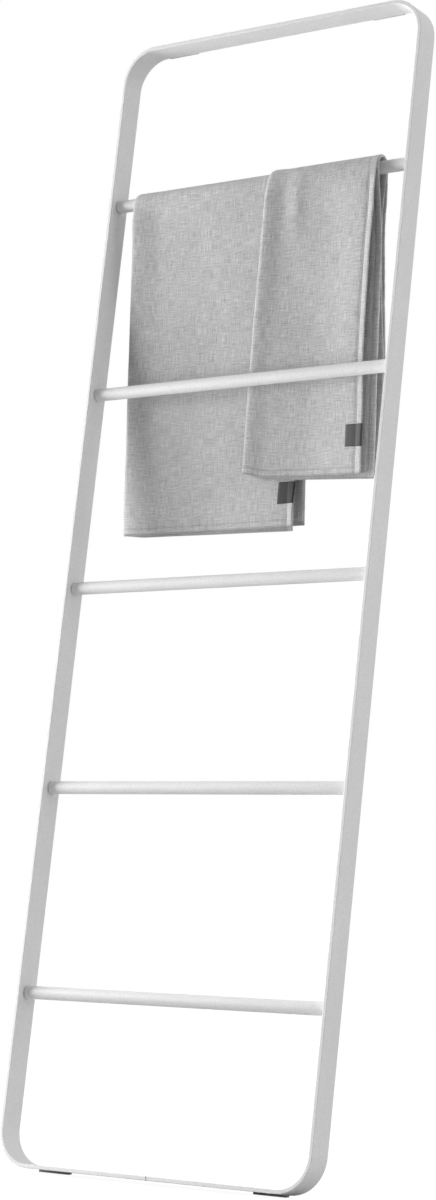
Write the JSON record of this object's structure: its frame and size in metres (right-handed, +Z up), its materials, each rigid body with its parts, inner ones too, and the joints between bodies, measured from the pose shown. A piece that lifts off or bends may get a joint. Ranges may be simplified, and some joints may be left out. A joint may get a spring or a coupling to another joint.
{
  "type": "towel ladder",
  "caption": "Leaning ladder rack of bent flat bar with round rungs, rubber wall and foot pads, and folded towels that slide along its top rung.",
  "frame": {"origin": "on the floor, midway between the frame's foremost point and the wall, on the plane of symmetry of the frame", "axes": "+X along the rungs to the right as seen from the room, +Y towards the wall, +Z up; the ladder leans back 8 degrees"},
  "size_m": [0.58, 0.293, 1.8001],
  "materials": {
    "coat": "fine-textured matt powder coat, off-white",
    "plug_steel": "turned, bare",
    "foot_rubber": "matt moulded rubber, dark grey",
    "wall_rubber": "matt moulded rubber, pale grey",
    "towel_cloth": "melange linen-cotton weave, light grey",
    "label_cloth": "dense woven tape, charcoal"
  },
  "bodies": {
    "frame": {"frame_loop": "coat", "rung_1": "coat", "rung_2": "coat", "rung_3": "coat", "rung_4": "coat", "rung_5": "coat", "rung_1_plug_left": "plug_steel", "rung_1_plug_right": "plug_steel", "rung_2_plug_left": "plug_steel", "rung_2_plug_right": "plug_steel", "rung_3_plug_left": "plug_steel", "rung_3_plug_right": "plug_steel", "rung_4_plug_left": "plug_steel", "rung_4_plug_right": "plug_steel", "rung_5_plug_left": "plug_steel", "rung_5_plug_right": "plug_steel", "foot_pad_left": "foot_rubber", "foot_pad_right": "foot_rubber", "wall_pad_left": "wall_rubber", "wall_pad_right": "wall_rubber"},
    "towel_left": {"towel_left": "towel_cloth", "towel_left_label": "label_cloth"},
    "towel_right": {"towel_right": "towel_cloth", "towel_right_label": "label_cloth"}
  },
  "joints": [
    {"name": "towel_left_slide", "type": "slide", "parent": "frame", "child": "towel_left", "axis": [1, 0, 0], "range_m": [-0.033, 0.19]},
    {"name": "towel_right_slide", "type": "slide", "parent": "frame", "child": "towel_right", "axis": [1, 0, 0], "range_m": [-0.275, 0.036]}
  ]
}
